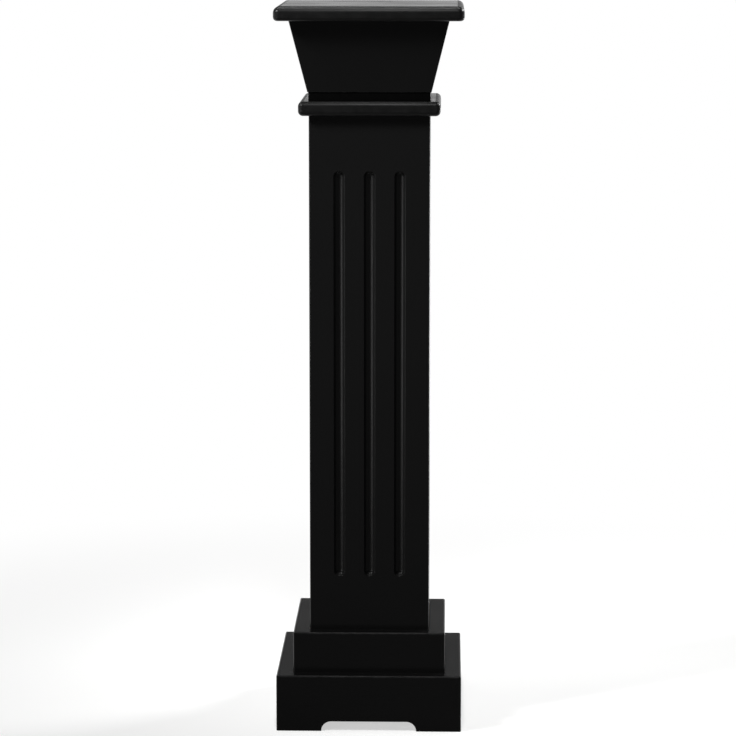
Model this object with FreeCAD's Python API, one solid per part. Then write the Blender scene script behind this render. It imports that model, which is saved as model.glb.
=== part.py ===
import FreeCAD, Part
import math
import os

from FreeCAD import Vector

# Square display column in lacquered MDF, standing on the floor. All sizes are in millimetres.
# The origin is the centre of the footprint on the floor, +Z is up and the front face looks along -Y.

# Shaft: four mitred boards round a hollow core
SHAFT_WIDTH = 110.0
SHAFT_LENGTH = 534.5
SHAFT_BOARD = 12.0
SHAFT_ARRIS = 1.2

# Flutes, cut by a round-nosed cutter that plunges at both ends
FLUTE_COUNT = 3
FLUTE_PITCH = 27.5
FLUTE_CUTTER_RADIUS = 5.0
FLUTE_DEPTH = 4.0
FLUTE_FOOT_MARGIN = 50.0
FLUTE_HEAD_MARGIN = 50.0

# Base plate, and the two rings of plinth boards wrapped round the shaft
BASE_PLATE_THICKNESS = 15.0
BASE_PLATE_LIFT = 12.0
UPPER_PLINTH_BOARD = 15.0
UPPER_PLINTH_TOP = 89.0
LOWER_PLINTH_BOARD = 15.0
LOWER_PLINTH_TOP = 52.0
PLINTH_ARRIS = 1.5
ARCH_WIDTH = 87.0
ARCH_HEIGHT = 9.0

# Collar and neck, two plates screwed to the head of the shaft
COLLAR_OVERHANG = 9.0
COLLAR_THICKNESS = 13.0
COLLAR_ROUND = 4.5
NECK_THICKNESS = 8.0
NECK_ARRIS = 1.0

# Capital: four flared boards with compound mitres
CAPITAL_HEIGHT = 64.5
CAPITAL_TOP_WIDTH = 144.0
CAPITAL_LIP = 0.8
CAPITAL_BOARD = 9.0
CAPITAL_ARRIS = 1.0
CAPITAL_PLATE_THICKNESS = 12.0
LOCATING_BLOCK_THICKNESS = 12.0

# Top board
TOP_OVERHANG = 13.0
TOP_THICKNESS = 13.0
TOP_UPPER_ROUND = 6.0
TOP_LOWER_ROUND = 3.5

# Blocks inside the shaft
END_BLOCK_THICKNESS = 25.0
GLUE_BLOCK_LEG = 20.0
GLUE_BLOCK_NOSE = 3.0

# Countersunk screws, drawn with a few flat facets
SCREW_SHANK = 4.0
SCREW_HEAD = 8.0
SCREW_POINT = 0.6
SCREW_FACETS = 8
SCREW_RECESS = 0.4
BASE_SCREW_SQUARE = 56.0
BASE_SCREW_BITE = 15.4
NECK_SCREW_SQUARE = 60.0
NECK_SCREW_BITE = 17.4
TOP_SCREW_SQUARE = 84.0
TOP_SCREW_BITE = 8.4

# Clearances between pieces that slide into each other
BLOCK_CLEARANCE = 0.25
SCREW_CLEARANCE = 0.1

# Levels that follow from the sizes above
BASE_PLATE_TOP = BASE_PLATE_LIFT + BASE_PLATE_THICKNESS
BOTTOM_BLOCK_TOP = BASE_PLATE_TOP + END_BLOCK_THICKNESS
SHAFT_TOP = BASE_PLATE_TOP + SHAFT_LENGTH
TOP_BLOCK_FOOT = SHAFT_TOP - END_BLOCK_THICKNESS
COLLAR_TOP = SHAFT_TOP + COLLAR_THICKNESS
NECK_TOP = COLLAR_TOP + NECK_THICKNESS
LOCATING_BLOCK_TOP = NECK_TOP + LOCATING_BLOCK_THICKNESS
CAPITAL_TOP = NECK_TOP + CAPITAL_HEIGHT
CAPITAL_PLATE_FOOT = CAPITAL_TOP - CAPITAL_PLATE_THICKNESS
OVERALL_HEIGHT = CAPITAL_TOP + TOP_THICKNESS

# Widths that follow from the sizes above
SHAFT_BORE = SHAFT_WIDTH - 2 * SHAFT_BOARD
UPPER_PLINTH_WIDTH = SHAFT_WIDTH + 2 * UPPER_PLINTH_BOARD
LOWER_PLINTH_WIDTH = UPPER_PLINTH_WIDTH + 2 * LOWER_PLINTH_BOARD
COLLAR_WIDTH = SHAFT_WIDTH + 2 * COLLAR_OVERHANG
CAPITAL_FOOT_WIDTH = SHAFT_WIDTH + 2 * CAPITAL_LIP
TOP_WIDTH = CAPITAL_TOP_WIDTH + 2 * TOP_OVERHANG

# The four sides of every ring, by the turn about Z that brings the front board there
SIDES = {"front": 0, "right": 90, "back": 180, "left": 270}
ORIGIN = Vector(0, 0, 0)
UPRIGHT = Vector(0, 0, 1)
FULL_TURN = 360
LEVEL_TOLERANCE = 1e-4


def square_prism(width, bottom, top):
    """A square block centred on the column's axis."""
    corner = Vector(-width / 2, -width / 2, bottom)
    return Part.makeBox(width, width, top - bottom, corner)


def flat_sided(sides, stations):
    """A solid with flat sides between regular polygons, given upwards by width over flats and level."""
    rings = []
    for width, level in stations:
        reach = width / 2 / math.cos(math.pi / sides)
        angles = [math.pi / sides * (2 * corner + 1) for corner in range(sides)]
        rings.append([Vector(reach * math.cos(a), reach * math.sin(a), level) for a in angles])
    outlines = [rings[0][::-1], rings[-1]]
    for lower, upper in zip(rings, rings[1:]):
        for here in range(sides):
            there = (here + 1) % sides
            outlines.append([lower[here], lower[there], upper[there], upper[here]])
    faces = [Part.Face(Part.makePolygon(outline + outline[:1])) for outline in outlines]
    return Part.Solid(Part.Shell(faces))


def is_at(height, level):
    """Whether two heights are the same."""
    return abs(height - level) < LEVEL_TOLERANCE


def round_corners(solid, radius):
    """Rounds the edges that climb from the solid's foot to its head."""
    climb = solid.BoundBox.ZLength
    return solid.makeFillet(radius, [e for e in solid.Edges if is_at(e.BoundBox.ZLength, climb)])


def round_rim(solid, radius, level):
    """Rounds the edges all round the solid's outline at one level."""
    rim = [
        e for e in solid.Edges if is_at(e.BoundBox.ZMin, level) and is_at(e.BoundBox.ZMax, level)
    ]
    return solid.makeFillet(radius, rim)


def side_sector(reach, bottom, top):
    """The quarter of the column's space that belongs to its front side, between the two mitre planes."""
    outline = [Vector(0, 0, bottom), Vector(-reach, -reach, bottom), Vector(reach, -reach, bottom)]
    face = Part.Face(Part.makePolygon(outline + outline[:1]))
    return face.extrude(Vector(0, 0, top - bottom))


def mitred_boards(name, ring):
    """Cuts a ring along its diagonals into four boards, named for their sides."""
    box = ring.BoundBox
    sector = side_sector(box.XLength, box.ZMin, box.ZMax)
    boards = {}
    for side, turn in SIDES.items():
        quarter = sector.copy()
        quarter.rotate(ORIGIN, UPRIGHT, turn)
        boards[f"{name}_{side}"] = ring.common(quarter).Solids[0]
    return boards


def on_four_sides(solid):
    """The same solid turned to each side of the column."""
    copies = []
    for turn in SIDES.values():
        copy = solid.copy()
        copy.rotate(ORIGIN, UPRIGHT, turn)
        copies.append(copy)
    return copies


def cut_all(solid, cutters):
    """The solid with every cutter taken out of it."""
    for cutter in cutters:
        solid = solid.cut(cutter)
    return solid.Solids[0]


def screw(length, growth=0.0):
    """A countersunk screw with its head at the origin and its point below, or its hole when grown."""
    head = SCREW_HEAD + 2 * growth
    shank = SCREW_SHANK + 2 * growth
    cone_depth = (SCREW_HEAD - SCREW_SHANK) / 2
    tip = -length - growth
    stations = [(SCREW_POINT, tip), (shank, tip + SCREW_SHANK), (shank, -cone_depth), (head, 0)]
    return flat_sided(SCREW_FACETS, stations)


def screw_hole(length):
    """The hole for a countersunk screw, open above so that the head lies below the surface."""
    width = SCREW_HEAD + 2 * SCREW_CLEARANCE
    mouth = flat_sided(SCREW_FACETS, [(width, 0), (width, 2 * SCREW_RECESS)])
    return screw(length, SCREW_CLEARANCE).fuse(mouth)


def four_at(solid, square, level, points_up):
    """Four copies at the corners of a square, with their heads at one level."""
    copies = []
    for x_sign in (-1, 1):
        for y_sign in (-1, 1):
            copy = solid.copy()
            if points_up:
                copy.rotate(ORIGIN, Vector(1, 0, 0), FULL_TURN / 2)
            copy.translate(Vector(x_sign * square / 2, y_sign * square / 2, level))
            copies.append(copy)
    return copies


def fixing(square, head, joint, bite):
    """Four screws from the head's level across a joint and into what lies beyond it, and their holes."""
    length = abs(joint - head) + bite
    points_up = joint > head
    screws = Part.makeCompound(four_at(screw(length), square, head, points_up))
    return screws, four_at(screw_hole(length), square, head, points_up)


def flute_cutter(bottom, top):
    """The path of the round-nosed cutter along one flute: a bar with ball ends, cut by its depth."""
    radius = FLUTE_CUTTER_RADIUS
    half_mouth = math.sqrt(radius**2 - (radius - FLUTE_DEPTH) ** 2)
    first, last = bottom + half_mouth, top - half_mouth
    slant = radius / math.sqrt(2)
    edges = [
        Part.Arc(
            Vector(0, 0, first - radius),
            Vector(slant, 0, first - slant),
            Vector(radius, 0, first),
        ).toShape(),
        Part.makeLine(Vector(radius, 0, first), Vector(radius, 0, last)),
        Part.Arc(
            Vector(radius, 0, last),
            Vector(slant, 0, last + slant),
            Vector(0, 0, last + radius),
        ).toShape(),
        Part.makeLine(Vector(0, 0, last + radius), Vector(0, 0, first - radius)),
    ]
    bar = Part.Face(Part.Wire(edges)).revolve(ORIGIN, UPRIGHT, FULL_TURN)
    bar.translate(Vector(0, -SHAFT_WIDTH / 2 + FLUTE_DEPTH - radius, 0))
    return bar


def shaft_boards():
    """The fluted shaft, four boards mitred at the corners."""
    outside = round_corners(square_prism(SHAFT_WIDTH, BASE_PLATE_TOP, SHAFT_TOP), SHAFT_ARRIS)
    ring = outside.cut(square_prism(SHAFT_BORE, BASE_PLATE_TOP, SHAFT_TOP))
    cutter = flute_cutter(UPPER_PLINTH_TOP + FLUTE_FOOT_MARGIN, SHAFT_TOP - FLUTE_HEAD_MARGIN)
    for index in range(FLUTE_COUNT):
        flute = cutter.copy()
        flute.translate(Vector((index - (FLUTE_COUNT - 1) / 2) * FLUTE_PITCH, 0, 0))
        for turned in on_four_sides(flute):
            ring = ring.cut(turned)
    return mitred_boards("shaft", ring)


def end_block(bottom, top, holes):
    """A block inside one end of the shaft, with the screws' pilot holes."""
    block = square_prism(SHAFT_BORE - 2 * BLOCK_CLEARANCE, bottom, top)
    return cut_all(block, holes)


def glue_blocks():
    """Triangular sticks glued into the shaft's inner corners, with the nose planed off for the glue."""
    corner = -SHAFT_BORE / 2
    top = TOP_BLOCK_FOOT - BLOCK_CLEARANCE
    outline = [
        Vector(corner + GLUE_BLOCK_NOSE, corner, BOTTOM_BLOCK_TOP),
        Vector(corner + GLUE_BLOCK_LEG, corner, BOTTOM_BLOCK_TOP),
        Vector(corner, corner + GLUE_BLOCK_LEG, BOTTOM_BLOCK_TOP),
        Vector(corner, corner + GLUE_BLOCK_NOSE, BOTTOM_BLOCK_TOP),
    ]
    face = Part.Face(Part.makePolygon(outline + outline[:1]))
    sticks = on_four_sides(face.extrude(Vector(0, 0, top - BOTTOM_BLOCK_TOP)))
    corners = ("front_left", "front_right", "back_right", "back_left")
    return {f"glue_block_{name}": stick for name, stick in zip(corners, sticks)}


def plinth_ring(inner_width, outer_width, bottom, top):
    """A ring of plinth boards with its outer corners and upper arris eased."""
    outside = round_corners(square_prism(outer_width, bottom, top), PLINTH_ARRIS)
    outside = round_rim(outside, PLINTH_ARRIS, top)
    return outside.cut(square_prism(inner_width, bottom, top))


def foot_arch():
    """The arch through the lower plinth from front to back, its upper corners as round as it is high."""
    half = ARCH_WIDTH / 2
    flat = half - ARCH_HEIGHT
    bend = ARCH_HEIGHT / math.sqrt(2)
    reach = LOWER_PLINTH_WIDTH / 2
    edges = [
        Part.makeLine(Vector(-half, -reach, 0), Vector(half, -reach, 0)),
        Part.Arc(
            Vector(half, -reach, 0),
            Vector(flat + bend, -reach, bend),
            Vector(flat, -reach, ARCH_HEIGHT),
        ).toShape(),
        Part.makeLine(Vector(flat, -reach, ARCH_HEIGHT), Vector(-flat, -reach, ARCH_HEIGHT)),
        Part.Arc(
            Vector(-flat, -reach, ARCH_HEIGHT),
            Vector(-flat - bend, -reach, bend),
            Vector(-half, -reach, 0),
        ).toShape(),
    ]
    return Part.Face(Part.Wire(edges)).extrude(Vector(0, LOWER_PLINTH_BOARD, 0))


def lower_plinth_boards():
    """The outer plinth ring, with a foot arch in each side."""
    ring = plinth_ring(UPPER_PLINTH_WIDTH, LOWER_PLINTH_WIDTH, 0, LOWER_PLINTH_TOP)
    for arch in on_four_sides(foot_arch()):
        ring = ring.cut(arch)
    return mitred_boards("lower_plinth", ring)


def upper_plinth_boards():
    """The inner plinth ring, standing on the base plate against the shaft."""
    ring = plinth_ring(SHAFT_WIDTH, UPPER_PLINTH_WIDTH, BASE_PLATE_TOP, UPPER_PLINTH_TOP)
    return mitred_boards("upper_plinth", ring)


def collar_board(holes):
    """The collar, a square board rounded over on every edge."""
    board = square_prism(COLLAR_WIDTH, SHAFT_TOP, COLLAR_TOP)
    return cut_all(board.makeFillet(COLLAR_ROUND, board.Edges), holes)


def top_board(holes):
    """The top board, rounded over at its corners and upper rim, and less round at its lower rim."""
    board = square_prism(TOP_WIDTH, CAPITAL_TOP, OVERALL_HEIGHT)
    upper = [e for e in board.Edges if not is_at(e.BoundBox.ZMax, CAPITAL_TOP)]
    board = board.makeFillet(TOP_UPPER_ROUND, upper)
    return cut_all(round_rim(board, TOP_LOWER_ROUND, CAPITAL_TOP), holes)


def capital_width(level):
    """The capital's outside width at one level of its flare."""
    share = (level - NECK_TOP) / CAPITAL_HEIGHT
    return CAPITAL_FOOT_WIDTH + share * (CAPITAL_TOP_WIDTH - CAPITAL_FOOT_WIDTH)


def capital_bore(level):
    """The width inside the capital's boards at one level, with the board's thickness measured square."""
    slope = (CAPITAL_TOP_WIDTH - CAPITAL_FOOT_WIDTH) / 2 / CAPITAL_HEIGHT
    return capital_width(level) - 2 * CAPITAL_BOARD * math.hypot(1, slope)


def capital_boards():
    """The flared capital, four boards with compound mitres."""
    levels = (NECK_TOP, CAPITAL_TOP)
    outside = flat_sided(4, [(capital_width(level), level) for level in levels])
    inside = flat_sided(4, [(capital_bore(level), level) for level in levels])
    return mitred_boards("capital", round_corners(outside, CAPITAL_ARRIS).cut(inside))


def bevelled_plate(bottom, top, holes):
    """A plate inside the capital, its edges bevelled to the flare."""
    stations = [(capital_bore(level) - 2 * BLOCK_CLEARANCE, level) for level in (bottom, top)]
    return cut_all(flat_sided(4, stations), holes)


def build_column():
    """Every piece of the column, by name."""
    base_screws, base_holes = fixing(
        BASE_SCREW_SQUARE, BASE_PLATE_LIFT + SCREW_RECESS, BASE_PLATE_TOP, BASE_SCREW_BITE
    )
    neck_screws, neck_holes = fixing(
        NECK_SCREW_SQUARE, LOCATING_BLOCK_TOP - SCREW_RECESS, SHAFT_TOP, NECK_SCREW_BITE
    )
    top_screws, top_holes = fixing(
        TOP_SCREW_SQUARE, CAPITAL_PLATE_FOOT + SCREW_RECESS, CAPITAL_TOP, TOP_SCREW_BITE
    )
    base_plate = square_prism(UPPER_PLINTH_WIDTH, BASE_PLATE_LIFT, BASE_PLATE_TOP)
    neck = round_corners(square_prism(SHAFT_WIDTH, COLLAR_TOP, NECK_TOP), NECK_ARRIS)
    return {
        "base_plate": cut_all(base_plate, base_holes),
        "base_screws": base_screws,
        "shaft_bottom_block": end_block(BASE_PLATE_TOP, BOTTOM_BLOCK_TOP, base_holes),
        **shaft_boards(),
        **glue_blocks(),
        "shaft_top_block": end_block(TOP_BLOCK_FOOT, SHAFT_TOP, neck_holes),
        **upper_plinth_boards(),
        **lower_plinth_boards(),
        "collar_board": collar_board(neck_holes),
        "neck_plate": cut_all(neck, neck_holes),
        "neck_screws": neck_screws,
        "capital_locating_block": bevelled_plate(NECK_TOP, LOCATING_BLOCK_TOP, neck_holes),
        **capital_boards(),
        "capital_top_plate": bevelled_plate(CAPITAL_PLATE_FOOT, CAPITAL_TOP, top_holes),
        "top_screws": top_screws,
        "top_board": top_board(top_holes),
    }


os.makedirs("parts", exist_ok=True)
for piece_name, piece in build_column().items():
    piece.exportStep(f"parts/{piece_name}.step")
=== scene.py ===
import math

import bmesh
import bpy
import numpy as np
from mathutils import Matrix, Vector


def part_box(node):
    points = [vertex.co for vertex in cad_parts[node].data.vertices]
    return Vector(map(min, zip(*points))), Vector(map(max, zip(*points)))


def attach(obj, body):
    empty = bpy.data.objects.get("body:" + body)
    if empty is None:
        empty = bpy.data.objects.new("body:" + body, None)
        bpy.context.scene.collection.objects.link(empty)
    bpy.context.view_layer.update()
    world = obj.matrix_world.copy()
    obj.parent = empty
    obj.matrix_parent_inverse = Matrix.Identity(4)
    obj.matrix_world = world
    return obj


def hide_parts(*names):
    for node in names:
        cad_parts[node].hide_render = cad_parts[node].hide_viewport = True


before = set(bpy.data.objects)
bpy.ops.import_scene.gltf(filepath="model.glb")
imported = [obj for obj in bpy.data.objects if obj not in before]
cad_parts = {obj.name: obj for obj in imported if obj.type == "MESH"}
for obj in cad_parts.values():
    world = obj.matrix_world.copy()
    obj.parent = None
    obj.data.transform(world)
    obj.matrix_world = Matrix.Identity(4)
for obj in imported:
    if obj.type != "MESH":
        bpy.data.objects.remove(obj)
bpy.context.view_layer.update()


# ---- Base plate and its four screws -------------------------------------------------------------
# A square of raw 15 mm MDF, let in under the shaft, that carries the shaft and both plinth rings.
# Its underside never sees the spray gun: it shows the brown of sawn board, misted black at its rim.
# Four bright zinc-plated countersunk screws with cross recesses come up through it into the shaft.

SCREW_HEAD_RADIUS = 0.0040
SCREW_THREAD_RADIUS = 0.0020
SCREW_CORE_RADIUS = 0.0014
SCREW_PITCH = 0.0018
SCREW_PLAIN = 0.003            # smooth shank between the head's cone and the thread
SCREW_POINT = 0.004
RECESS_DEPTH = 0.0017
RECESS_REACH, RECESS_END_SLOPE = 0.0021, 0.0009
RECESS_HALF_WIDTH, RECESS_SIDE_SLOPE = 0.00062, 0.00018
HOLE_PLAY = 0.0001
SCREW_SIDES, FLAT_RINGS, POINT_RINGS, RINGS_PER_PITCH = 48, 22, 12, 7
PLATE_STEPS = 16
WELD = 2e-7                    # points closer than this are one point
SMOOTH_BELOW = 34              # degrees: a sharper bend keeps its edge

MDF_FIBRE = 0.0011
MIST_DRIFT, MIST_PUSH = 0.0222, 0.05       # size of the mist's ragged patches, and their push outwards
MIST_BAND = (0.074, 0.102)                 # where the mist starts and is whole, with the push added
MIST_DROP = 0.00067
ZINC_CLOUD = 0.0011
MDF_FACE, MDF_FLECK, OVERSPRAY = "#ab8862", "#8a6744", "#1d1b1a"
ZINC_BRIGHT, ZINC_DULL = "#c9ccd0", "#9a9da3"


def linear(written):
    """A written sRGB hex colour as linear light, with full alpha."""
    srgb = np.array([int(written[i : i + 2], 16) for i in (1, 3, 5)]) / 255
    light = np.where(srgb <= 0.04045, srgb / 12.92, ((srgb + 0.055) / 1.055) ** 2.4)
    return (*light, 1.0)


def add(tree, kind, inputs, **settings):
    """Adds a node: its settings by name, and its inputs as values or as other nodes' outputs."""
    made = tree.nodes.new("ShaderNode" + kind)
    for name, value in settings.items():
        setattr(made, name, value)
    for name, value in inputs.items():
        if isinstance(value, bpy.types.NodeSocket):
            tree.links.new(value, made.inputs[name])
        else:
            made.inputs[name].default_value = value
    return made


def start_material(name):
    """A new material with its tree, its shader and the socket of the object's own coordinates."""
    material = bpy.data.materials.new(name)
    material.use_nodes = True
    tree = material.node_tree
    return material, tree, tree.nodes["Principled BSDF"], add(tree, "TexCoord", {}).outputs["Object"]


def sawn_mdf():
    """Medium-density fibre board as sawn, with spray mist on it.

    The eye sees a soft matt tan without any grain, flecked by darker fibres about 1 mm long, and
    fine black droplets that thicken towards the edges where the gun passed.
    """
    material, tree, shader, place = start_material("raw_mdf_sawn_and_misted")
    felt = add(tree, "TexNoise", {"Vector": place, "Scale": 1 / MDF_FIBRE, "Detail": 5.0,
                                  "Roughness": 0.65})
    fleck = add(tree, "MapRange", {"Value": felt.outputs[0], "From Min": 0.50, "From Max": 0.72})
    board = add(tree, "Mix", {0: fleck.outputs[0], 6: linear(MDF_FACE), 7: linear(MDF_FLECK)},
                data_type="RGBA")
    # The mist starts at a square about 110 mm wide: X or Y counts, whichever is the larger.
    apart = add(tree, "SeparateXYZ", {0: place})
    reach = [add(tree, "Math", {0: apart.outputs[axis]}, operation="ABSOLUTE") for axis in (0, 1)]
    edge = add(tree, "Math", {0: reach[0].outputs[0], 1: reach[1].outputs[0]}, operation="MAXIMUM")
    drift = add(tree, "TexNoise", {"Vector": place, "Scale": 1 / MIST_DRIFT, "Detail": 3.0})
    ragged = add(tree, "Math", {0: drift.outputs[0], 1: MIST_PUSH, 2: edge.outputs[0]},
                 operation="MULTIPLY_ADD")
    mist = add(tree, "MapRange", {"Value": ragged.outputs[0], "From Min": MIST_BAND[0],
                                  "From Max": MIST_BAND[1]})
    drops = add(tree, "TexNoise", {"Vector": place, "Scale": 1 / MIST_DROP, "Detail": 2.0})
    grain = add(tree, "Math", {0: mist.outputs[0], 1: 0.6, 2: drops.outputs[0]},
                operation="MULTIPLY_ADD")
    cover = add(tree, "MapRange", {"Value": grain.outputs[0], "From Min": 0.62, "From Max": 0.90})
    seen = add(tree, "Mix", {0: cover.outputs[0], 6: board.outputs[2], 7: linear(OVERSPRAY)},
               data_type="RGBA")
    tree.links.new(seen.outputs[2], shader.inputs["Base Color"])
    shader.inputs["Roughness"].default_value = 0.85
    bump = add(tree, "Bump", {"Strength": 0.6, "Distance": 0.00006, "Height": felt.outputs[0]})
    tree.links.new(bump.outputs[0], shader.inputs["Normal"])
    return material


def bright_zinc():
    """Zinc electroplate on a steel screw: a cool silver, softly mirror-like, dulled in small clouds."""
    material, tree, shader, place = start_material("zinc_plated_steel")
    cloud = add(tree, "TexNoise", {"Vector": place, "Scale": 1 / ZINC_CLOUD, "Detail": 3.0})
    colour = add(tree, "Mix", {0: cloud.outputs[0], 6: linear(ZINC_BRIGHT), 7: linear(ZINC_DULL)},
                 data_type="RGBA")
    tree.links.new(colour.outputs[2], shader.inputs["Base Color"])
    shader.inputs["Metallic"].default_value = 1.0
    sheen = add(tree, "MapRange", {"Value": cloud.outputs[0], "To Min": 0.22, "To Max": 0.42})
    tree.links.new(sheen.outputs[0], shader.inputs["Roughness"])
    return material


def stand(name, data):
    """A new object in the scene for a mesh, a lamp or a camera."""
    made = bpy.data.objects.new(name, data)
    bpy.context.scene.collection.objects.link(made)
    return made


def put_in(mesh, materials, slot, *nodes):
    """Hangs a finished mesh in the scene as a piece that stands for its CAD nodes."""
    piece = stand(mesh.name, mesh)
    for material in materials:
        mesh.materials.append(material)
    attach(piece, "root")
    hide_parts(*nodes)


def sew(mesh):
    """Merges the points that meet, turns every face outwards and shades what bends gently smooth."""
    sewn = bmesh.new()
    sewn.from_mesh(mesh)
    bmesh.ops.remove_doubles(sewn, verts=sewn.verts, dist=WELD)
    bmesh.ops.recalc_face_normals(sewn, faces=sewn.faces)
    sewn.to_mesh(mesh)
    sewn.free()
    mesh.shade_smooth()
    mesh.set_sharp_from_angle(angle=math.radians(SMOOTH_BELOW))
    return mesh


def ring_quads(index):
    """The faces between rings of numbered points: each quad joins points k and k + 1 of two rings."""
    near, far = index[:-1], index[1:]
    return np.stack([near, np.roll(near, -1, 1), np.roll(far, -1, 1), far], -1).reshape(-1, 4)


def close_rings(name, rings, backs=(), **marks):
    """A closed skin over rings of points, (ring, point round it, xyz): quads join each ring to the
    next, and a flat face closes the first and the last. A quad from point k to k + 1 of the rings is
    unpainted board where backs holds k. Each mark is a value for every point, kept as an attribute.
    """
    count, round_it = rings.shape[:2]
    index = np.arange(count * round_it).reshape(count, round_it)
    mesh = bpy.data.meshes.new(name)
    faces = [*ring_quads(index).tolist(), index[0].tolist(), index[-1].tolist()]
    mesh.from_pydata(rings.reshape(-1, 3).tolist(), [], faces)
    raw = np.zeros((count - 1, round_it), np.int32)
    raw[:, list(backs)] = 1
    ends = [1, 1] if len(backs) else [0, 0]
    mesh.polygons.foreach_set("material_index", np.r_[raw.ravel(), ends].astype(np.int32))
    for mark, values in marks.items():
        layer = mesh.attributes.new(mark, "FLOAT", "POINT")
        spread = np.broadcast_to(values, (count, round_it))
        layer.data.foreach_set("value", spread.astype(np.float32).ravel())
    return mesh


def screw_rings(length):
    """A screw as rings round its axis, head at 0 and point at length.

    The radius follows the profile head, cone, shank, point. On the shank it rises from the core to
    the thread's crest once each pitch, and the rise climbs one pitch in each turn round the axis.
    On the head's flat, the surface sinks by the recess depth inside two crossed slots.
    """
    turn = np.linspace(0, 2 * np.pi, SCREW_SIDES, endpoint=False)
    flat = np.linspace(0, SCREW_HEAD_RADIUS, FLAT_RINGS)
    neck = SCREW_HEAD_RADIUS - SCREW_THREAD_RADIUS
    shank = np.linspace(neck, length - SCREW_POINT, int(length / SCREW_PITCH * RINGS_PER_PITCH))
    point = np.linspace(length - SCREW_POINT, length, POINT_RINGS)
    taper = np.linspace(1, 0, POINT_RINGS) * SCREW_THREAD_RADIUS
    radius = np.r_[flat, SCREW_THREAD_RADIUS + 0 * shank, taper]
    along = np.r_[0 * flat, shank, point]
    radius, along = (np.repeat(values[:, None], SCREW_SIDES, 1) for values in (radius, along))
    across_x, across_y = np.abs(radius * np.cos(turn)), np.abs(radius * np.sin(turn))
    slots = [
        np.clip((RECESS_REACH - run) / RECESS_END_SLOPE, 0, 1)
        * np.clip((RECESS_HALF_WIDTH - off) / RECESS_SIDE_SLOPE, 0, 1)
        for run, off in ((across_x, across_y), (across_y, across_x))
    ]
    on_flat = np.arange(len(radius))[:, None] < len(flat)
    along = along + on_flat * RECESS_DEPTH * np.maximum(*slots)
    climb = (along / SCREW_PITCH - turn / (2 * np.pi)) % 1
    crest = np.clip(1 - 3 * np.abs(climb - 0.5), 0, 1)
    thread = 1 - (1 - SCREW_CORE_RADIUS / SCREW_THREAD_RADIUS) * (1 - crest)
    radius = np.where(on_flat, radius, radius * np.where(along > neck + SCREW_PLAIN, thread, 1))
    return np.stack([radius * np.cos(turn), radius * np.sin(turn), along], -1)


def screw_set(name, node):
    """The four screws of one joint, where the CAD box of their node has them. The neck's are driven
    down, so their heads are above, and the others' heads are below.
    """
    low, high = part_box(node)
    heads_below = node != "neck_screws"
    one = screw_rings(high.z - low.z)
    one[..., 2] = low.z + one[..., 2] if heads_below else high.z - one[..., 2]
    square = high.x - SCREW_HEAD_RADIUS
    joined = bmesh.new()
    for x_sign in (-1, 1):
        for y_sign in (-1, 1):
            single = close_rings(name + "_one", one + [x_sign * square, y_sign * square, 0])
            joined.from_mesh(single)
            bpy.data.meshes.remove(single)
    mesh = bpy.data.meshes.new(name)
    joined.to_mesh(mesh)
    joined.free()
    return sew(mesh)


def drilled_plate(name, node, screws):
    """A square plate with four countersunk holes, as one skin in four quarters.

    In a quarter, the first parameter turns round the hole and the second runs from the plate's
    outline over its underside to the hole's rim, up the sink, cone and bore, and back over its top.
    """
    low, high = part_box(node)
    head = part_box(screws)[0].z
    half, hole = high.x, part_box(screws)[1].x - SCREW_HEAD_RADIUS
    step = np.linspace(0, half, PLATE_STEPS + 1)
    walk = [(step, 0 * step), (half + 0 * step, step),
            (step[::-1], half + 0 * step), (0 * step, step[::-1])]
    outline = np.concatenate([np.stack(side, -1)[:-1] for side in walk])
    spoke = outline - hole
    spoke = spoke / np.linalg.norm(spoke, axis=1, keepdims=True)
    rim, bore = SCREW_HEAD_RADIUS + HOLE_PLAY, SCREW_THREAD_RADIUS + HOLE_PLAY
    circles = [(rim, low.z), (rim, head), (bore, head + rim - bore), (bore, high.z)]
    rows = [np.c_[outline, np.full(len(outline), low.z)]]
    rows += [np.c_[hole + spoke * radius, np.full(len(outline), level)] for radius, level in circles]
    rows += [np.c_[outline, np.full(len(outline), high.z)]]
    quarter = np.stack(rows)
    index = np.arange(quarter.shape[0] * quarter.shape[1]).reshape(quarter.shape[:2])
    # The outline's second and third sides are the plate's own edge, so a wall closes them.
    edge = np.arange(PLATE_STEPS, 3 * PLATE_STEPS)
    wall = np.stack([index[0, edge], index[0, edge + 1], index[-1, edge + 1], index[-1, edge]], -1)
    one = np.concatenate([ring_quads(index), wall])
    signs = np.array([(x, y, 1) for x in (-1, 1) for y in (-1, 1)])
    points = np.concatenate([quarter.reshape(-1, 3) * sign for sign in signs])
    faces = np.concatenate([one + k * index.size for k in range(4)])
    mesh = bpy.data.meshes.new(name)
    mesh.from_pydata(points.tolist(), [], faces.tolist())
    return sew(mesh)


raw_mdf = sawn_mdf()
zinc = bright_zinc()
put_in(drilled_plate("base_plate_raw", "base_plate", "base_screws"), [raw_mdf], "raw_mdf", "base_plate")
put_in(screw_set("base_screws_zinc", "base_screws"), [zinc], "zinc_screw", "base_screws")


# ---- Blocks inside the shaft --------------------------------------------------------------------
# Planed pine that is never seen once the column is glued up: a block in each end of the shaft takes
# the screws, and a triangular stick glued down each inner corner holds the mitres.

PINE_EARLY, PINE_LATE = "#dcbb86", "#b98a52"
RING_WIDTH = 0.0035
PINE_FIBRE = 0.00056
GRAIN_SQUEEZE = 0.06           # along the sticks the pattern is drawn out, as grain is


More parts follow.
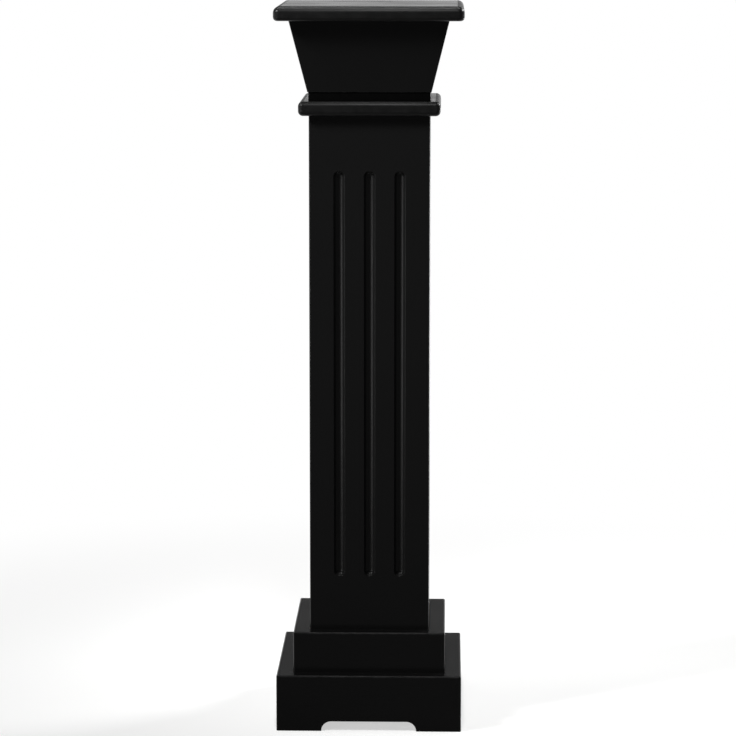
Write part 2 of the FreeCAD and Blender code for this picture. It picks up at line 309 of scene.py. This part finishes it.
def planed_pine():
    """Planed pine: pale yellow early wood with darker late-wood lines about 3.5 mm apart."""
    material, tree, shader, place = start_material("pine_planed")
    stretch = add(tree, "Mapping", {"Vector": place, "Scale": (1.0, 1.0, GRAIN_SQUEEZE)})
    rings = add(tree, "TexWave", {"Vector": stretch.outputs[0], "Scale": math.pi / 10 / RING_WIDTH,
                                  "Distortion": 3.0, "Detail": 2.0, "Detail Scale": 12.0},
                wave_type="RINGS", rings_direction="Z")
    colour = add(tree, "Mix", {0: rings.outputs[1], 6: linear(PINE_EARLY), 7: linear(PINE_LATE)},
                 data_type="RGBA")
    tree.links.new(colour.outputs[2], shader.inputs["Base Color"])
    fibre = add(tree, "TexNoise", {"Vector": stretch.outputs[0], "Scale": 1 / PINE_FIBRE,
                                   "Detail": 2.0})
    bump = add(tree, "Bump", {"Strength": 0.5, "Distance": 0.00004, "Height": fibre.outputs[0]})
    tree.links.new(bump.outputs[0], shader.inputs["Normal"])
    shader.inputs["Roughness"].default_value = 0.6
    return material


pine = planed_pine()
for node_name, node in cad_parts.items():
    if node_name.startswith(("glue_block", "shaft_bottom_block", "shaft_top_block")):
        node.active_material = pine


# ---- Shaft --------------------------------------------------------------------------------------
# Four boards of 12 mm MDF, mitred and glued, with three flutes cut up each by a 10 mm round-nosed
# router bit that plunges 4 mm deep at both ends. Sealed, sanded and sprayed with satin black lacquer.

SHAFT_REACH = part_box("shaft_front")[1].x
SHAFT_FOOT, SHAFT_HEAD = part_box("shaft_front")[0].z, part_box("shaft_front")[1].z
SHAFT_BACK = -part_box("shaft_front")[1].y   # from the column's axis to the boards' inner faces
SHAFT_ARRIS = 0.0012
FLUTE_CENTRES = (-0.0275, 0.0, 0.0275)
FLUTE_RADIUS, FLUTE_DEPTH, FLUTE_LIP = 0.0050, 0.0040, 0.0006
FLUTE_MARGIN = 0.050                       # plain board below and above the flutes
FLUTE_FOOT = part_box("upper_plinth_front")[1].z + FLUTE_MARGIN
FLUTE_HEAD = SHAFT_HEAD - FLUTE_MARGIN
# The bit's centre stands out of the face by the lift. From a flute's centre line, its round floor
# would reach the face at the mouth. The lip takes over at the meet and runs into the face at the edge.
FLUTE_LIFT = FLUTE_RADIUS - FLUTE_DEPTH
FLUTE_MOUTH = math.sqrt(FLUTE_RADIUS**2 - FLUTE_LIFT**2)
FLUTE_EDGE = math.sqrt((FLUTE_RADIUS + FLUTE_LIP) ** 2 - (FLUTE_LIFT + FLUTE_LIP) ** 2)
FLUTE_MEET = FLUTE_EDGE * FLUTE_RADIUS / (FLUTE_RADIUS + FLUTE_LIP)
FLOOR_POINTS, RUN_LEVELS = 16, 12
ARC_STEPS = 7                              # points on each small rounding
LAND = 0.0004                              # beside each rounding, it keeps the flat's shading flat
SIDES = {"front": 0, "right": 1, "back": 2, "left": 3}     # in quarter turns

LACQUER, LACQUER_CLOUD, LACQUER_RUBBED = "#080808", "#0a0a0a", "#181818"
FACING_SHEEN = "#424242"                   # how little the lacquer mirrors where it is seen face on
SATIN, DRY = (0.18, 0.24), 0.10            # roughness of the coat, and what a cut core adds to it
SHEEN_CLOUD = 0.0714
RUB_GRAIN = 0.00625
PEEL_WAVE, PEEL_RISE = 0.0028, 0.000006    # orange peel, crest to crest and in height
CORE_GRIT, GRIT_RISE = 0.0007, 0.000003    # the board's cut core, felt through the lacquer
CORE_DEPTH = 0.0003                        # a cut this deep has opened the core


def satin_lacquer(name, ground, clouded, rubbed, facing):
    """Satin black nitrocellulose lacquer, sprayed in three coats over sealed MDF.

    The eye sees a deep, neutral black whose sheen is soft and a little uneven, a faint orange peel,
    a drier and grittier look where a cutter has opened the board's core, as in the flutes and the
    rounded edges, and arrises rubbed slightly grey where the coat is thinnest.
    """
    material, tree, shader, place = start_material(name)
    cut = add(tree, "Attribute", {}, attribute_name="cut").outputs["Fac"]
    arris = add(tree, "Attribute", {}, attribute_name="arris").outputs["Fac"]
    cloud = add(tree, "TexNoise", {"Vector": place, "Scale": 1 / SHEEN_CLOUD, "Detail": 3.0})
    body = add(tree, "Mix", {0: cloud.outputs[0], 6: linear(ground), 7: linear(clouded)},
               data_type="RGBA")
    scuff = add(tree, "TexNoise", {"Vector": place, "Scale": 1 / RUB_GRAIN, "Detail": 6.0,
                                   "Roughness": 0.7})
    rub = add(tree, "MapRange", {"Value": scuff.outputs[0], "From Min": 0.42, "From Max": 0.68})
    worn = add(tree, "Math", {0: rub.outputs[0], 1: arris}, operation="MULTIPLY")
    colour = add(tree, "Mix", {0: worn.outputs[0], 6: body.outputs[2], 7: linear(rubbed)},
                 data_type="RGBA")
    tree.links.new(colour.outputs[2], shader.inputs["Base Color"])
    sheen = add(tree, "MapRange", {"Value": cloud.outputs[0], "From Min": 0.3, "From Max": 0.7,
                                   "To Min": SATIN[0], "To Max": SATIN[1]})
    dry = add(tree, "Math", {0: cut, 1: DRY, 2: sheen.outputs[0]}, operation="MULTIPLY_ADD")
    tree.links.new(dry.outputs[0], shader.inputs["Roughness"])
    shader.inputs["IOR"].default_value = 1.48
    shader.inputs["Specular Tint"].default_value = linear(facing)
    peel = add(tree, "TexNoise", {"Vector": place, "Scale": 1 / PEEL_WAVE, "Detail": 1.0})
    grit = add(tree, "TexNoise", {"Vector": place, "Scale": 1 / CORE_GRIT, "Detail": 3.0})
    rough_core = add(tree, "Math", {0: grit.outputs[0], 1: cut}, operation="MULTIPLY")
    low_bump = add(tree, "Bump", {"Strength": 1.0, "Distance": PEEL_RISE, "Height": peel.outputs[0]})
    bump = add(tree, "Bump", {"Strength": 1.0, "Distance": GRIT_RISE, "Height": rough_core.outputs[0],
                              "Normal": low_bump.outputs[0]})
    tree.links.new(bump.outputs[0], shader.inputs["Normal"])
    return material


def turned(points, quarter_turns):
    """The same points turned about the column's axis, a quarter turn at a time."""
    x, y, z = np.moveaxis(points, -1, 0)
    for _ in range(quarter_turns):
        x, y = -y, x
    return np.stack([x, y, z], -1)


def board_skin(name, side, rings, backs, cut, arris):
    """A board's closed skin, turned to its side of the column."""
    return sew(close_rings(name, turned(rings, SIDES[side]), backs, cut=cut, arris=arris))


def flute_offsets():
    """Distances from a flute's centre line, close together where its section bends."""
    hollow = FLUTE_RADIUS * np.sin(np.linspace(0, math.asin(FLUTE_MEET / FLUTE_RADIUS), FLOOR_POINTS))
    steepest = math.acos((FLUTE_LIFT + FLUTE_LIP) / (FLUTE_RADIUS + FLUTE_LIP))
    lip = FLUTE_EDGE - FLUTE_LIP * np.sin(np.linspace(steepest, 0, ARC_STEPS)[1:])
    half = np.r_[hollow, lip, FLUTE_EDGE + LAND]
    return np.r_[-half[:0:-1], half]


def flute_depth(x, z):
    """How deep the flutes lie below the face at x and z.

    With r the distance to the nearest centre line, the floor is a circle of the bit's radius, lifted
    so that it is as deep as the cut. A small rounding, tangent to the circle and to the face, is its
    lip. Past the ends of the line, r is the distance to its end, so the bit's ball shows there.
    """
    past = z - np.clip(z, FLUTE_FOOT + FLUTE_MOUTH, FLUTE_HEAD - FLUTE_MOUTH)
    r = np.min([np.hypot(x - centre, past) for centre in FLUTE_CENTRES], axis=0)
    floor = np.sqrt(np.maximum(FLUTE_RADIUS**2 - r**2, 0)) - FLUTE_LIFT
    lip = FLUTE_LIP - np.sqrt(np.maximum(FLUTE_LIP**2 - (FLUTE_EDGE - r) ** 2, 0))
    return np.where(r < FLUTE_MEET, floor, np.where(r < FLUTE_EDGE, lip, 0))


def fluted_board(name, side):
    """One board of the shaft: its section's outline at every level, joined into a skin.

    The section runs over the face from mitre to mitre, with half of each corner's rounding on both
    ends, and back along the inner face. Only the face sinks, by the flutes' depth.
    """
    offsets = flute_offsets()
    lean = np.linspace(-np.pi / 4, 0, ARC_STEPS)
    tangent = SHAFT_REACH - SHAFT_ARRIS
    across = np.unique(np.concatenate([centre + offsets for centre in FLUTE_CENTRES]))
    across = np.r_[-tangent + LAND, across, tangent - LAND]
    x = np.r_[-tangent + SHAFT_ARRIS * np.sin(lean), across, tangent - SHAFT_ARRIS * np.sin(lean[::-1])]
    y = np.r_[-tangent - SHAFT_ARRIS * np.cos(lean), -SHAFT_REACH + 0 * across,
              -tangent - SHAFT_ARRIS * np.cos(lean[::-1])]
    ends = [level + offsets for level in (FLUTE_FOOT + FLUTE_MOUTH, FLUTE_HEAD - FLUTE_MOUTH)]
    runs = np.linspace(FLUTE_FOOT + 2 * FLUTE_MOUTH, FLUTE_HEAD - 2 * FLUTE_MOUTH, RUN_LEVELS)
    z = np.unique(np.concatenate([[SHAFT_FOOT, SHAFT_HEAD], *ends, runs]))[:, None]
    sunk = flute_depth(x, z)
    rounded = np.abs(x) > tangent
    face = np.stack([x + 0 * z, y + sunk * ~rounded, z + 0 * x], -1)
    back = np.array([(SHAFT_BACK, -SHAFT_BACK), (-SHAFT_BACK, -SHAFT_BACK)])
    inner = np.stack([np.c_[back, np.full(2, level)] for level in z[:, 0]])
    rings = np.concatenate([face, inner], 1)
    cut = np.pad(np.clip(sunk / CORE_DEPTH, 0, 1), ((0, 0), (0, 2)))
    arris = np.pad(rounded * 1.0, (0, 2))
    last = len(x)
    return board_skin(name, side, rings, (last - 1, last, last + 1), cut, arris)


lacquer = satin_lacquer("black_satin_lacquer_sprayed_on_mdf", LACQUER, LACQUER_CLOUD, LACQUER_RUBBED,
                        FACING_SHEEN)
for side in SIDES:
    put_in(fluted_board(f"shaft_{side}_fluted", side), [lacquer, raw_mdf], "black_lacquer",
           f"shaft_{side}")


# ---- Plinth -------------------------------------------------------------------------------------
# Two rings of 15 mm MDF, each of four boards mitred round what is inside it: the tall ring stands on
# the base plate against the shaft, and the low one stands on the floor with an arch sawn in each
# foot. The upper and outer arrises are eased to 1.5 mm before spraying.

PLINTH_ARRIS = 0.0015
FOOT_ARRIS = 0.0007
ARCH_HALF, ARCH_RISE = 0.0435, 0.0090
ARCH_STEPS = 13
PLAIN_COLUMNS = np.array([-0.02, 0.02])    # the only columns in the middle of a plain board


def section(corners, radii):
    """A closed outline from its corners, each rounded by its own radius.

    A corner's arc leaves each side at the distance radius / tan(half the corner's angle), and its
    centre lies on the bisector. A point a little before and after keeps the sides' shading flat.
    A corner of no radius stays one point. Also gives each point's share of being on an arc.
    """
    corners = np.asarray(corners, float)
    behind, ahead_of = np.roll(corners, 1, 0), np.roll(corners, -1, 0)
    points, on_arc = [], []
    for before, corner, after, radius in zip(behind, corners, ahead_of, radii):
        if not radius:
            points.append(corner[None])
            on_arc.append([0.0])
            continue
        back, ahead = (v / np.linalg.norm(v) for v in (before - corner, after - corner))
        half = math.acos(np.clip(back @ ahead, -1, 1)) / 2
        middle = (back + ahead) / np.linalg.norm(back + ahead)
        centre = corner + middle * radius / math.sin(half)
        reach = radius / math.tan(half)
        sweep = np.linspace(-1, 1, ARC_STEPS)[:, None] * (math.pi / 2 - half)
        side = (ahead - back) / np.linalg.norm(ahead - back)
        arc = centre - radius * (middle * np.cos(sweep) - side * np.sin(sweep))
        points += [(corner + back * (reach + LAND))[None], arc, (corner + ahead * (reach + LAND))[None]]
        on_arc += [[0.0], np.ones(ARC_STEPS), [0.0]]
    return np.concatenate(points), np.concatenate(on_arc)


def across_board(middle):
    """Where the columns of a mitred board stand: x = a + b * (reach - rounding) + rounding * sin(lean).

    The columns in the middle have a fixed x. From there to the corner's rounding they are shares of
    the reach, and the last ones lean round half the corner, as far as the mitre.
    """
    lean = np.linspace(0, np.pi / 4, ARC_STEPS)
    share = np.array([0.5, 1.0])
    right_a = np.r_[middle[-1] * (1 - share), 0 * lean]
    right_b = np.r_[share, 1 + 0 * lean]
    right_lean = np.r_[0 * share, lean]
    a = np.r_[-right_a[::-1], middle, right_a]
    b = np.r_[-right_b[::-1], 0 * middle, right_b]
    return a[:, None], b[:, None], np.r_[-right_lean[::-1], 0 * middle, right_lean][:, None]


def mitred(outline, corner_round, outer_reach, columns):
    """A section carried across a board from mitre to mitre.

    Each point of the section keeps its distance from the axis, except round the outer corner, whose
    rounding shrinks as the point lies deeper, so that its centre stays in one place.
    """
    a, b, lean = columns
    reach, z = outline.T
    rounding = np.maximum(corner_round - (outer_reach - reach), 0)
    straight = reach - rounding
    x = a + b * straight + rounding * np.sin(lean)
    y = -straight - rounding * np.cos(lean)
    return np.stack([x, y + 0 * x, z + 0 * x], -1)


def rubbed_arrises(arc, columns, near_face):
    """Where sanding thins the coat: on the section's arcs, and round the corner near the face."""
    return np.maximum(arc, (np.abs(columns[2]) > 0) * near_face)


def upper_plinth_board(name, side):
    """A tall plinth board: a plain section with its outer upper arris eased."""
    low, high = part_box("upper_plinth_front")
    outer, inner = high.x, -high.y
    corners = [(outer, low.z), (outer, high.z), (inner, high.z), (inner, low.z)]
    outline, arc = section(corners, (0, PLINTH_ARRIS, 0, 0))
    columns = across_board(PLAIN_COLUMNS)
    rings = mitred(outline, PLINTH_ARRIS, outer, columns)
    arris = rubbed_arrises(arc, columns, outline[:, 0] > outer - PLINTH_ARRIS)
    last = len(outline)
    return board_skin(name, side, rings, (last - 2, last - 1), arc, arris)


def both_ways(values, sign):
    """Values from the board's middle out to one end, led by the same times a sign for the other."""
    return np.r_[sign * values[:0:-1], values]


def lower_plinth_board(name, side):
    """A low plinth board with its foot arch.

    The foot's line is flat, then a quarter circle up to the arch's flat head and down again. The
    section hangs from that line: its lowest points lie square to the line, and the points above
    them climb in even shares to the board's level top.
    """
    low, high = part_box("lower_plinth_front")
    outer, inner = high.x, -high.y
    corners = [(inner, low.z), (outer, low.z), (outer, high.z), (inner, high.z)]
    outline, arc = section(corners, (0, FOOT_ARRIS, PLINTH_ARRIS, 0))
    bend = np.linspace(0, np.pi / 2, ARCH_STEPS)[::-1]
    flat = ARCH_HALF - ARCH_RISE
    line_x = np.r_[0.0, flat / 2, flat + ARCH_RISE * np.cos(bend), ARCH_HALF + FOOT_ARRIS * 2]
    line_z = np.r_[ARCH_RISE, ARCH_RISE, ARCH_RISE * np.sin(bend), 0.0]
    square_x = np.r_[0.0, 0.0, np.cos(bend), 0.0]
    square_z = np.r_[1.0, 1.0, np.sin(bend), 1.0]
    square_z[-2] = 1.0                     # the arch's end is also where the flat foot starts
    middle = both_ways(line_x, -1)
    columns = across_board(middle)
    spare = (len(columns[0]) - len(middle)) // 2
    line_z, square_x, square_z = (
        np.pad(both_ways(values, sign), spare, constant_values=on_the_flat)[:, None]
        for values, sign, on_the_flat in ((line_z, 1, 0.0), (square_x, -1, 0.0), (square_z, 1, 1.0))
    )
    rings = mitred(outline, PLINTH_ARRIS, outer, columns)
    above = outline[:, 1] - low.z
    near_foot = np.minimum(above, FOOT_ARRIS)
    climb = np.clip((above - FOOT_ARRIS) / (high.z - low.z - PLINTH_ARRIS - LAND - FOOT_ARRIS), 0, 1)
    climb[above < FOOT_ARRIS * 1.5] = 0    # the eased edge keeps to the line
    rings[..., 0] += (1 - climb) * (square_x * near_foot)
    rings[..., 2] = (1 - climb) * (low.z + (line_z + square_z * near_foot)) + climb * rings[..., 2]
    arris = rubbed_arrises(arc, columns, outline[:, 0] > outer - PLINTH_ARRIS)
    return board_skin(name, side, rings, (len(outline) - 1, 0), arc, arris)


for side in SIDES:
    put_in(upper_plinth_board(f"upper_plinth_{side}_lacquered", side), [lacquer, raw_mdf],
           "black_lacquer", f"upper_plinth_{side}")
    put_in(lower_plinth_board(f"lower_plinth_{side}_arched", side), [lacquer, raw_mdf],
           "black_lacquer", f"lower_plinth_{side}")


# ---- Collar and neck ----------------------------------------------------------------------------
# The collar is one square of 13 mm MDF with a router's rounding-over on every edge, and the neck a
# smaller square of 8 mm board on it, both screwed down into the block in the shaft's head. The neck's
# lacquer is painted darker and duller than the lacquer round it: painted shade between the parts.

COLLAR_ROUND = 0.0045
NECK_ARRIS = 0.0010
NECK_EASE = 0.0003
EDGE_STEPS = 12                # points on each rounded edge
EDGE_RUB = 0.25                # a rounded edge is rubbed a quarter as much as an arris
# The neck's colours and facing sheen, darker and duller than the lacquer's: painted shade.
NECK_SHADE_BLACK, NECK_SHADE_CLOUD, NECK_SHADE_RUBBED, NECK_SHADE_SHEEN = "#020202", "#030303", "#050505", "#141414"


def round_the_square(profile, half, corner):
    """A profile carried round a square: its first number is how far inside the square's edge each
    ring lies, its second the ring's level. A ring's corner is rounded by what is left of the corner's
    radius at that depth, so all of a corner's arcs share one centre.
    """
    turn = np.linspace(0, np.pi / 2, 2 * ARC_STEPS)
    inside, level = profile.T[:, :, None]
    left = np.maximum(corner - inside, 0)
    square = half - np.maximum(corner, inside)
    corner_x, corner_y = square + left * np.cos(turn), square + left * np.sin(turn)
    quarter = np.stack([corner_x, corner_y, level + 0 * turn], -1)
    return np.concatenate([turned(quarter, k) for k in range(4)], 1)


def edge_profile(thickness, below, above, bottom):
    """A board's edge from its underside to its top, rounded below and above, as inset and level.
    Also gives each ring's share of lying on a rounding, where the core is cut.
    """
    bend = np.linspace(0, np.pi / 2, EDGE_STEPS)
    inset = np.r_[below + 3 * LAND, below + LAND, below * (1 - np.sin(bend)),
                  above * (1 - np.cos(bend)), above + LAND, above + 3 * LAND]
    level = np.r_[0, 0, below * (1 - np.cos(bend)),
                  thickness - above * (1 - np.sin(bend)), thickness, thickness]
    return np.c_[inset, bottom + level], np.pad(np.ones(2 * EDGE_STEPS), 2)


def square_board(name, node, below, above, corner, coat):
    """Puts in a whole square board where its node is. Its edge is rounded by one radius below and by
    another above, and its four corners by a third.
    """
    low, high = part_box(node)
    profile, cut = edge_profile(high.z - low.z, below, above, low.z)
    rings = round_the_square(profile, high.x, corner)
    mesh = sew(close_rings(name, rings, cut=cut[:, None], arris=cut[:, None] * EDGE_RUB))
    put_in(mesh, [coat], "black_lacquer", node)


square_board("collar_rounded_over", "collar_board", COLLAR_ROUND, COLLAR_ROUND, COLLAR_ROUND, lacquer)
# The neck's lacquer, made darker than the rest to stand in for shade: painted shade.
neck_painted_shade = satin_lacquer("lacquer_darkened_as_painted_shade_on_the_neck", NECK_SHADE_BLACK, NECK_SHADE_CLOUD, NECK_SHADE_RUBBED,
                          NECK_SHADE_SHEEN)
square_board("neck_plate_lacquered", "neck_plate", NECK_EASE, NECK_EASE, NECK_ARRIS, neck_painted_shade)
put_in(screw_set("neck_screws_zinc", "neck_screws"), [zinc], "zinc_screw", "neck_screws")


# ---- Capital ------------------------------------------------------------------------------------
# Four boards of 9 mm MDF, each wider at the top, glued on compound mitres into an upturned pyramid.
# A bevelled block locates its foot on the neck, and a bevelled plate in its head takes the screws
# that go up into the top board. Both are raw board, and neither shows.

CAPITAL_ARRIS = 0.0010
CAPITAL_FOOT_REACH = 0.0558
CAPITAL_BOARD = 0.009
CAPITAL_EASE = 0.0004


def capital_board(name, side):
    """A flared board: a leaning section carried from mitre to mitre, so that it widens as it climbs."""
    low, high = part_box("capital_front")
    outer = high.x
    lean = (outer - CAPITAL_FOOT_REACH) / (high.z - low.z)
    through = CAPITAL_BOARD * math.hypot(1, lean)
    corners = [(CAPITAL_FOOT_REACH, low.z), (outer, high.z), (outer - through, high.z),
               (CAPITAL_FOOT_REACH - through, low.z)]
    outline, arc = section(corners, (CAPITAL_EASE, CAPITAL_EASE, 0, 0))
    face = CAPITAL_FOOT_REACH + lean * (outline[:, 1] - low.z)
    columns = across_board(PLAIN_COLUMNS)
    rings = mitred(outline, CAPITAL_ARRIS, face, columns)
    arris = rubbed_arrises(arc, columns, outline[:, 0] > face - CAPITAL_ARRIS)
    last = len(outline)
    return board_skin(name, side, rings, (last - 3, last - 2, last - 1), arc, arris)


for side in SIDES:
    put_in(capital_board(f"capital_{side}_flared", side), [lacquer, raw_mdf], "black_lacquer",
           f"capital_{side}")
put_in(screw_set("top_screws_zinc", "top_screws"), [zinc], "zinc_screw", "top_screws")
for inner_name in ("capital_top_plate", "capital_locating_block"):
    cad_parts[inner_name].active_material = raw_mdf


# ---- Top board ----------------------------------------------------------------------------------
# One square of 13 mm MDF. Its upper edge is rounded over with a 6 mm bit and its lower edge with a
# smaller one, and its corners are taken round by the same 6 mm.

TOP_UPPER, TOP_LOWER = 0.0060, 0.0035

square_board("top_board_rounded_over", "top_board", TOP_LOWER, TOP_UPPER, TOP_UPPER, lacquer)


# ---- Studio -------------------------------------------------------------------------------------
# A pale floor that runs out to a white horizon under a dim ceiling. A high soft box on the left lights
# the faces, a low one the flutes, an upright strip in front and one overhead draw the rounded edges,
# and two boxes serve the back. The camera stands a little right and 0.76 m up, as the photograph's did.

FLOOR_PALE = "#eeeeed"
FLOOR_BOUNCE = "#4a4a4a"       # what the floor throws back on the column, kept low as by black flags
FLOOR_REACH = 40.0
WHITE = "#ffffff"
SWEEP = (0.30, 0.95)           # from the column to where the floor starts to turn white, and has
SWEEP_START = 0.55             # how white it is up to there
FILL = 0.05
CEILING = 0.10
HORIZON_BAND = (0.03, 0.17)    # sines of the elevations where the white horizon starts to fade, and ends
CAMERA_PLACE = (0.070, -2.785, 0.760)
CAMERA_DOWN, CAMERA_LEFT = 0.1553, 0.0261      # its tilt and its turn, in radians
CAMERA_LENS, CAMERA_SENSOR = 148.74, 36


def seen_rays(tree):
    """Whether the ray is the camera's own, and whether gloss or glass sent it on, each as 1 or 0."""
    rays = add(tree, "LightPath", {})
    sent_on = add(tree, "Math", {0: rays.outputs["Is Glossy Ray"],
                                 1: rays.outputs["Is Transmission Ray"]}, operation="MAXIMUM")
    return rays.outputs["Is Camera Ray"], sent_on.outputs[0]


world = bpy.data.worlds.new("studio")
bpy.context.scene.world = world
world.use_nodes = True
tree = world.node_tree
tree.nodes.clear()
direct, mirrored = seen_rays(tree)
height = add(tree, "SeparateXYZ", {0: add(tree, "TexCoord", {}).outputs["Generated"]})
band = add(tree, "MapRange", {"Value": height.outputs[2], "From Min": HORIZON_BAND[0],
                              "From Max": HORIZON_BAND[1], "To Min": 1.0, "To Max": CEILING},
           interpolation_type="SMOOTHSTEP")
shine = add(tree, "Mix", {0: mirrored, 2: FILL, 3: band.outputs[0]})
strength = add(tree, "Mix", {0: direct, 2: shine.outputs[0], 3: 1.0})
sky = add(tree, "Background", {"Color": linear(WHITE), "Strength": strength.outputs[0]})
add(tree, "OutputWorld", {"Surface": sky.outputs[0]})


def soft_box(name, place, aim, watts, width, height, beam=180):
    """A box lamp that stands at a point and faces another. A grid narrows its beam, in degrees."""
    data = bpy.data.lights.new(name, "AREA")
    data.energy = watts
    data.shape = "RECTANGLE"
    data.size, data.size_y = width, height
    data.spread = math.radians(beam)
    made = stand(name, data)
    made.location = place
    made.visible_camera = False
    toward = np.subtract(aim, place)
    tilt = math.atan2(math.hypot(toward[0], toward[1]), -toward[2])
    made.rotation_euler = (tilt, 0, math.atan2(toward[1], toward[0]) - math.pi / 2)


# Each has its place, what it faces, its watts, and its width and height in metres.
soft_box("soft_box_on_the_left", (-1.03, -0.64, 1.44), (0, 0, 0.64), 4.7, 0.30, 0.30, beam=46)
soft_box("low_box_on_the_left", (-1.12, -0.93, 0.21), (0, -0.05, 0.26), 1.6, 0.90, 0.40, beam=42)
soft_box("strip_box_in_front", (0.0, -0.75, 1.60), (0, 0, 0.64), 2.5, 0.12, 0.78, beam=60)
soft_box("strip_box_overhead", (-0.02, 0.06, 1.35), (-0.02, 0.06, 0.6), 5, 0.11, 0.74)
soft_box("soft_box_behind", (1.15, 0.80, 1.35), (0, 0, 0.45), 6, 0.40, 0.40, beam=90)
soft_box("low_box_behind", (1.06, 1.00, 0.21), (0.05, 0.05, 0.25), 0.8, 0.52, 0.40, beam=42)

floor_mesh = bpy.data.meshes.new("pale_floor")
floor_corners = [(x * FLOOR_REACH, y * FLOOR_REACH, 0) for x, y in ((-1, -1), (1, -1), (1, 1), (-1, 1))]
floor_mesh.from_pydata(floor_corners, [], [(0, 1, 2, 3)])
floor = stand("pale_floor", floor_mesh)
paper, tree, shader, place = start_material("pale_studio_floor")
shader.inputs["Base Color"].default_value = linear(FLOOR_PALE)
shader.inputs["Roughness"].default_value = 1.0
shader.inputs["Specular IOR Level"].default_value = 0.0
away = add(tree, "VectorMath", {0: place}, operation="LENGTH")
far = add(tree, "MapRange", {"Value": away.outputs[1], "From Min": SWEEP[0], "From Max": SWEEP[1],
                             "To Min": SWEEP_START}, interpolation_type="SMOOTHSTEP")
white = add(tree, "Emission", {"Color": linear(WHITE)})
swept = add(tree, "MixShader", {0: far.outputs[0], 1: shader.outputs[0], 2: white.outputs[0]})
direct, mirrored = seen_rays(tree)
seen = add(tree, "Math", {0: direct, 1: mirrored}, operation="MAXIMUM")
bounce = add(tree, "BsdfDiffuse", {"Color": linear(FLOOR_BOUNCE)})
both = add(tree, "MixShader", {0: seen.outputs[0], 1: bounce.outputs[0], 2: swept.outputs[0]})
tree.links.new(both.outputs[0], tree.nodes["Material Output"].inputs["Surface"])
floor.data.materials.append(paper)

camera_data = bpy.data.cameras.new("camera")
camera_data.lens, camera_data.sensor_width = CAMERA_LENS, CAMERA_SENSOR
camera = stand("camera", camera_data)
camera.location = CAMERA_PLACE
camera.rotation_euler = (math.pi / 2 - CAMERA_DOWN, 0, CAMERA_LEFT)
bpy.context.scene.camera = camera
bpy.context.scene.view_settings.view_transform = "Standard"
